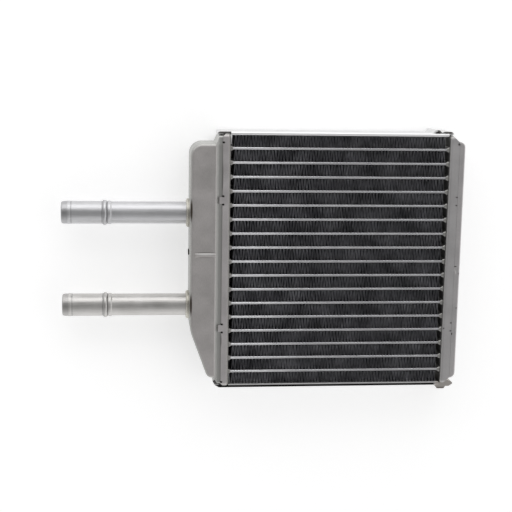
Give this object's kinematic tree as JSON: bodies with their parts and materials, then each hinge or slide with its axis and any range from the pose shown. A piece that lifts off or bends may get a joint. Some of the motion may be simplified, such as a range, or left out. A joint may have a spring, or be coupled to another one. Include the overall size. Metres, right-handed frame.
{
  "type": "heater core",
  "caption": "Brazed flat-tube heater core with folded fins, an inlet tank with both hose pipes, a return tank and end-hooked side plates.",
  "frame": {"origin": "centre of the bounding box in X and Y, on the face that it lies on", "axes": "+X from the hose pipes towards the return tank, +Y up the stack of tubes towards the inlet pipe's side, +Z out of the front face, away from the face that it lies on"},
  "size_m": [0.2904, 0.1934, 0.032],
  "materials": {
    "header_plates": "satin brazed sheet",
    "inlet_tank": "satin brazed sheet",
    "return_tank": "satin brazed sheet",
    "inlet_pipe": "drawn tube, half bright",
    "outlet_pipe": "drawn tube, half bright",
    "pipe_seats": "turned, with braze stain",
    "side_plates": "rolled strip, half bright",
    "flat_tubes": "extruded, half bright",
    "fins": "rolled foil, satin"
  },
  "bodies": {
    "root": {"inlet_header_plate": "header_plates", "return_header_plate": "header_plates", "inlet_tank": "inlet_tank", "baffle": "inlet_tank", "return_tank": "return_tank", "inlet_pipe": "inlet_pipe", "outlet_pipe": "outlet_pipe", "inlet_pipe_seat": "pipe_seats", "outlet_pipe_seat": "pipe_seats", "top_side_plate": "side_plates", "bottom_side_plate": "side_plates", "flat_tube_01": "flat_tubes", "flat_tube_02": "flat_tubes", "flat_tube_03": "flat_tubes", "flat_tube_04": "flat_tubes", "flat_tube_05": "flat_tubes", "flat_tube_06": "flat_tubes", "flat_tube_07": "flat_tubes", "flat_tube_08": "flat_tubes", "flat_tube_09": "flat_tubes", "flat_tube_10": "flat_tubes", "flat_tube_11": "flat_tubes", "flat_tube_12": "flat_tubes", "flat_tube_13": "flat_tubes", "flat_tube_14": "flat_tubes", "flat_tube_15": "flat_tubes", "flat_tube_16": "flat_tubes", "flat_tube_17": "flat_tubes", "fin_01": "fins", "fin_02": "fins", "fin_03": "fins", "fin_04": "fins", "fin_05": "fins", "fin_06": "fins", "fin_07": "fins", "fin_08": "fins", "fin_09": "fins", "fin_10": "fins", "fin_11": "fins", "fin_12": "fins", "fin_13": "fins", "fin_14": "fins", "fin_15": "fins", "fin_16": "fins", "fin_17": "fins", "fin_18": "fins"}
  },
  "joints": []
}
